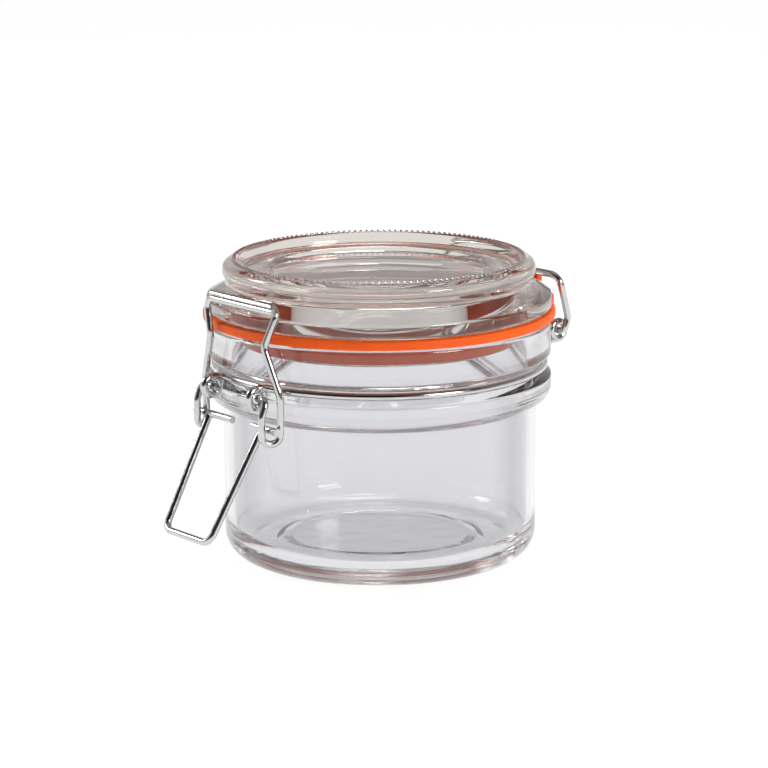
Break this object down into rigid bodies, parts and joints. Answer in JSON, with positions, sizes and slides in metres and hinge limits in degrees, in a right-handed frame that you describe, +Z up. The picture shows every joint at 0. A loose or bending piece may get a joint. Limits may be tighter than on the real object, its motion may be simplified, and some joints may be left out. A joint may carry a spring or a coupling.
{
  "type": "bail clamp jar",
  "caption": "Low glass preserving jar with a hinged glass lid, a rubber gasket and a wire bail closed by a lever on the neck wire.",
  "frame": {"origin": "centre of the base on the jar's axis", "axes": "+Z up the jar's axis, -Y towards the clamp and its lever, +Y towards the lid's hinge, +X to the right as seen facing the clamp"},
  "size_m": [0.097, 0.1201, 0.0834],
  "materials": {
    "glass": "clear pressed soda-lime glass",
    "rubber": "satin orange rubber",
    "steel_wire": "bright nickel-coloured spring steel wire"
  },
  "bodies": {
    "container": {"glass_jar": "glass", "neck_ring": "steel_wire"},
    "cover": {"glass_lid": "glass", "rubber_seal": "rubber", "rear_bracket": "steel_wire"},
    "bail": {"bail_wire_left": "steel_wire", "bail_wire_right": "steel_wire"},
    "lever": {"lever_handle": "steel_wire"}
  },
  "joints": [
    {"name": "lid_hinge", "type": "hinge", "parent": "container", "child": "cover", "pos_m": [0, 0.0488, 0.0586], "axis": [-1, 0, 0], "range_deg": [0, 105]},
    {"name": "bail_swing", "type": "hinge", "parent": "container", "child": "bail", "pos_m": [0, -0.0505, 0.0524], "axis": [1, 0, 0], "range_deg": [0, 15]},
    {"name": "lever_swing", "type": "hinge", "parent": "bail", "child": "lever", "pos_m": [0, -0.04995, 0.0444], "axis": [-1, 0, 0], "range_deg": [-15, 95]}
  ]
}
